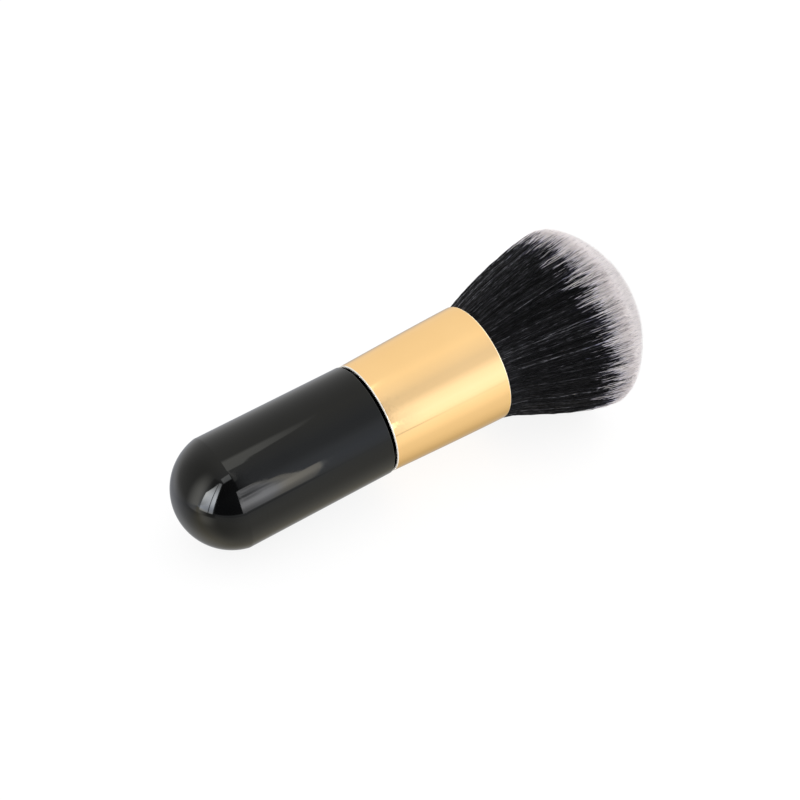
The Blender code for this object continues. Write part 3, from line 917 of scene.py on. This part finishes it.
# Soft glows beside and under the panes, and a small lamp
BESIDE = (-3.0, 24.0)
BESIDE_FOOT = (-17.0, 2.0)
BESIDE_TOP = (15.0, 58.0)
BESIDE_BRIGHTNESS = 2.6
UNDER = (13.0, 24.0)
UNDER_FOOT = (-40.0, -22.0)
UNDER_TOP = (-18.5, -16.5)
UNDER_BRIGHTNESS = 1.1
LAMP_TURNS = (-28.0, -18.0, 1.0)
LAMP_ALONG = (-0.41, 0.222, 0.012)
LAMP_BRIGHTNESS = 2.4


def tent_colour(brightness, coolness):
    """The tent's red, green and blue, as shares of the brightest that its ramp can hold."""
    rgb = (1.0 - TENT_RED_LOSS * coolness, 1.0, 1.0 + coolness)
    return tuple(part * brightness / TENT_BRIGHTEST for part in rgb)


def tent_shape(tree, degrees, down, side, along):
    """How bright the tent is beside what its angle alone gives."""
    bands = []
    for at, half, depth in TENT_BANDS:
        bands.append(tree.times(tree.bump(degrees, at, half), tree.smooth(along, *depth)))
    head_end = tree.smooth(along, *HEAD_END, 1.0, HEAD_END_BRIGHTNESS)
    lower = tree.times(tree.edge(down, *TAIL_LOWER), tree.smooth(side, *TAIL_SIDE))
    tail = tree.times(tree.smooth(along, *TAIL_END, 1.0, 0.0), tree.math("SUBTRACT", lower, TAIL_DIMMING))
    return tree.times(head_end, tree.without(*bands), tree.math("ADD", 1.0, tail))


def opening_and_window(tree, direction, degrees, along):
    """What the opening and the frame leave of the tent, and the light that panes, glows and lamp add."""
    x, y, z = tree.add("ShaderNodeSeparateXYZ", {0: direction}).outputs
    bearing = tree.math("ARCTAN2", tree.math("MULTIPLY", y, -1.0), tree.math("MULTIPLY", x, -1.0))
    bearing = tree.math("DEGREES", bearing)
    elevation = tree.math("DEGREES", tree.math("ARCSINE", z))
    slanted = tree.math("MULTIPLY_ADD", elevation, SLANT, bearing)

    notch = tree.times(tree.smooth(degrees, *OPENING_NOTCH), tree.smooth(along, *OPENING_NOTCH_ALONG))
    opening = tree.times(
        tree.edge(degrees, *OPENING_LOWER),
        tree.smooth(degrees, *OPENING_UPPER, 1.0, 0.0),
        tree.edge(slanted, *OPENING_SIDE),
        tree.smooth(along, *OPENING_END, 1.0, 0.0),
        tree.without(notch),
    )
    bars = tree.times(
        tree.between(slanted, *FRAME_SIDES),
        tree.between(elevation, *FRAME_HEIGHTS),
        tree.without(opening),
    )
    left = tree.without(tree.times(opening, OPENING_DEPTH), tree.times(bars, FRAME_DEPTH))

    panes = tree.total(*[tree.between(slanted, *sides) for sides in PANES])
    blind = tree.edge(tree.math("MULTIPLY_ADD", elevation, BLIND_SLANT, slanted), *BLIND_EDGE)
    gleam = tree.bump(elevation, *PANE_GLEAM)
    shine = tree.math("MULTIPLY_ADD", gleam, PANE_GLEAM_BRIGHTNESS, PANE_BRIGHTNESS)
    panes = tree.times(panes, blind, tree.between(elevation, *PANE_HEIGHTS), shine)

    wall = tree.times(tree.edge(elevation, *BESIDE_FOOT), tree.smooth(elevation, *BESIDE_TOP, 1.0, 0.0))
    sill = tree.times(tree.smooth(elevation, *UNDER_FOOT), tree.smooth(elevation, *UNDER_TOP, 1.0, 0.0))
    beside = tree.times(tree.bump(bearing, *BESIDE), wall, BESIDE_BRIGHTNESS)
    under = tree.times(tree.bump(bearing, *UNDER), sill, UNDER_BRIGHTNESS)
    lamp = tree.times(tree.between(degrees, *LAMP_TURNS), tree.between(along, *LAMP_ALONG), LAMP_BRIGHTNESS)
    return left, tree.total(panes, beside, under, lamp)


def make_surroundings():
    """What lights the brush and mirrors in it. Its dark opening and bright panes show in gloss alone."""
    world = bpy.data.worlds.new("studio")
    bpy.context.scene.world = world
    tree = Tree(world)
    direction = tree.add("ShaderNodeTexCoord").outputs["Generated"]
    down, side, along = [tree.dot(direction, axis) for axis in AXES]
    turn = tree.math("ARCTAN2", side, tree.math("MULTIPLY", down, -1.0))
    degrees = tree.math("DEGREES", turn)
    share = tree.math("MULTIPLY_ADD", turn, 1.0 / math.tau, 0.5)
    stops = [((angle + 180.0) / 360.0, tent_colour(*light)) for angle, *light in TENT]
    full = (TENT_BRIGHTEST,) * 3 + (1.0,)
    tent = tree.mix(1.0, tree.ramp(share, stops), full, blend_type="MULTIPLY")

    plain = tent_shape(tree, degrees, down, side, along)
    left, added = opening_and_window(tree, direction, degrees, along)
    mirrored = tree.scaled(tent, tree.math("MULTIPLY_ADD", plain, left, added))
    brightness = tree.add("ShaderNodeSeparateXYZ", {0: tent}).outputs[1]
    rays = tree.add("ShaderNodeLightPath").outputs
    lit = tree.mix(rays["Is Glossy Ray"], tree.math("MULTIPLY", plain, brightness), mirrored)
    colour = tree.mix(rays["Is Camera Ray"], lit, (1.0, 1.0, 1.0, 1.0))
    tree.feed(tree.nodes["Background"].inputs["Color"], colour)


# Softboxes. The strip's upper edge by its length, and its brightness by its width, run through these points
STRIP_TOP = (
    (0.080, 0.252), (0.1075, 0.257), (0.1090, 0.178), (0.114, 0.162), (0.1165, 0.09), (0.1200, 0.050),
    (0.140, 0.054),
)
STRIP_TOP_SOFT = 0.007
STRIP_BOTTOM = (-0.150, 0.006)
STRIP_PROFILE = (
    (-0.152, 0.33), (-0.12, 0.38), (-0.08, 0.56), (-0.035, 0.95), (0.02, 1.0), (0.09, 0.72), (0.16, 0.62),
    (0.26, 0.66),
)
STRIP_END = (0.132, 0.0012)
STRIP_PAST_END = 0.15
STRIP_FADE = (0.085, 0.135, 6.6, 3.7)
STRIP_COOL = (1.0, 1.0, 1.1, 1.0)
STRIP_WARM = (1.09, 1.0, 0.87, 1.0)
STRIP_WARMS = (0.100, 0.112)
GLOW_EDGE = (0.132, 0.001)
GLOW_BLUE = (0.85, 1.0, 1.10, 1.0)

# Marks on the strip: spots per metre along and across, and where a streak and a blot of them lie
SPOTS = (60.0, 14.0)
STREAK = (0.118, 0.038)
STREAK_FADE = (0.098, 0.112, 0.62, 0.0)
STREAK_SPOTS = (0.3, 0.55, 0.5, 1.0)
BLOT = (0.0, 0.06)
BLOT_FADE = (0.102, 0.116, 0.45, 0.1)
BLOT_SPOTS = (0.42, 0.62)

# The roof's lower edge by its length, its upper side, and the thin bright line at its foot
ROOF_LOWER = (
    (0.080, -0.107), (0.0945, -0.108), (0.098, -0.054), (0.104, -0.052), (0.112, -0.030), (0.121, -0.015),
    (0.130, 0.008), (0.135, 0.030), (0.145, 0.075), (0.152, 0.11),
)
ROOF_LOWER_SOFT = 0.008
ROOF_UPPER = (0.045, 0.110)
ROOF_FADE = (0.095, 0.150, 1.6, 0.15)
FOOT_PLACE = 0.0690
FOOT_SLANT = -0.1164
FOOT_WIDTH = (-0.0013, 0.0013, 0.0004)
FOOT_REACH = (-0.345, -0.10, 0.01)
FOOT_BRIGHTNESS = 1.6


def round_brush(angle, distance):
    """A place by its angle round the brush's zero (0 up, -90 on the camera's side) and its distance."""
    turn = math.radians(angle)
    return placed([[-distance * math.cos(turn), distance * math.sin(turn), 0.0]])[0]


def softbox(name, turn, along, across):
    """A flat light that faces the brush square, at an angle about its axis. Only gloss shows it.

    It gives the light's tree, and where a ray meets it, along the brush and across.
    """
    light = bpy.data.lights.new(name, "AREA")
    light.shape = "RECTANGLE"
    light.size, light.size_y = along[1] - along[0], across[1] - across[0]
    light.energy = math.pi * light.size * light.size_y
    lamp = bpy.data.objects.new(name, light)
    bpy.context.scene.collection.objects.link(lamp)
    away = round_brush(turn, 1.0) - ZERO
    up = np.cross(away, AXES[2])
    lamp.matrix_world = Matrix(np.stack([AXES[2], up, away], axis=1)).to_4x4()
    lamp.location = ZERO + away * SOFTBOX_DISTANCE + AXES[2] * sum(along) / 2 + up * sum(across) / 2
    lamp.visible_camera = False
    lamp.visible_diffuse = False
    tree = Tree(light)
    met = tree.add("ShaderNodeNewGeometry").outputs["Parametric"]
    met = tree.add("ShaderNodeSeparateXYZ", {0: met}).outputs
    places = []
    for share, (start, end) in zip(met, (along, across)):
        places.append(tree.math("MULTIPLY_ADD", share, end - start, start))
    return tree, places


def make_strip():
    """The softbox beside the brush, with a few marks on its cloth and a faint glow past its end."""
    tree, (along, across) = softbox("strip", STRIP_TURN, STRIP_ALONG, STRIP_ACROSS)
    under_top = tree.math("SUBTRACT", tree.curve(along, STRIP_TOP), across)
    shape = tree.times(tree.edge(under_top, 0.0, STRIP_TOP_SOFT), tree.edge(across, *STRIP_BOTTOM))
    end, soft = STRIP_END
    shape = tree.times(shape, tree.smooth(along, end - soft, end + soft, 1.0, STRIP_PAST_END))
    place = {0: tree.math("MULTIPLY", along, SPOTS[0]), 1: tree.math("MULTIPLY", across, SPOTS[1])}
    place = tree.add("ShaderNodeCombineXYZ", place).outputs[0]
    spots = tree.noise(1.0, detail=4.0, roughness=0.6, coordinates=place)
    streak = tree.times(tree.bump(across, *STREAK), tree.smooth(along, *STREAK_FADE))
    streak = tree.times(streak, tree.smooth(spots, *STREAK_SPOTS))
    blot = tree.times(tree.smooth(across, *BLOT), tree.smooth(along, *BLOT_FADE))
    blot = tree.times(blot, tree.smooth(spots, *BLOT_SPOTS))
    body = tree.times(tree.smooth(along, *STRIP_FADE), tree.curve(across, STRIP_PROFILE))
    warm = tree.mix(tree.smooth(along, *STRIP_WARMS), STRIP_COOL, STRIP_WARM)
    emission = tree.nodes["Emission"].inputs
    tree.feed(emission["Strength"], tree.times(shape, body, tree.without(streak, blot)))
    tree.feed(emission["Color"], tree.mix(tree.edge(along, *GLOW_EDGE), warm, GLOW_BLUE))


def make_roof():
    """The softbox above the brush, with a thin bright line at its foot."""
    tree, (along, across) = softbox("roof", ROOF_TURN, ROOF_ALONG, ROOF_ACROSS)
    over_lower = tree.math("SUBTRACT", across, tree.curve(along, ROOF_LOWER))
    upper = tree.smooth(across, *ROOF_UPPER, 1.0, 0.0)
    shape = tree.times(upper, tree.edge(over_lower, 0.0, ROOF_LOWER_SOFT), tree.smooth(along, *ROOF_FADE))
    line = tree.math("SUBTRACT", along, tree.math("MULTIPLY_ADD", across, FOOT_SLANT, FOOT_PLACE))
    foot = tree.times(tree.between(line, *FOOT_WIDTH), tree.between(across, *FOOT_REACH), FOOT_BRIGHTNESS)
    tree.feed(tree.nodes["Emission"].inputs["Strength"], tree.math("MAXIMUM", shape, foot))


def make_camera():
    camera = bpy.data.objects.new("camera", bpy.data.cameras.new("camera"))
    bpy.context.scene.collection.objects.link(camera)
    camera.data.lens = LENS
    camera.data.sensor_width = SENSOR_WIDTH
    camera.data.clip_start = CLIP_START
    flat = math.cos(VIEW_ELEVATION)
    back = Vector((
        math.sin(VIEW_AZIMUTH) * flat,
        -math.cos(VIEW_AZIMUTH) * flat,
        math.sin(VIEW_ELEVATION),
    ))
    camera.location = Vector(VIEW_CENTRE) + VIEW_DISTANCE * back
    camera.rotation_euler = (-back).to_track_quat("-Z", "Y").to_euler()
    bpy.context.scene.camera = camera


make_camera()
make_handle(gloss_black())
make_ferrule(pale_gold())
make_roots(glued_roots())
make_head(two_tone_hair())
dress_inner_nodes()
make_floor()
make_surroundings()
make_strip()
make_roof()
bpy.context.scene.view_settings.view_transform = "Standard"
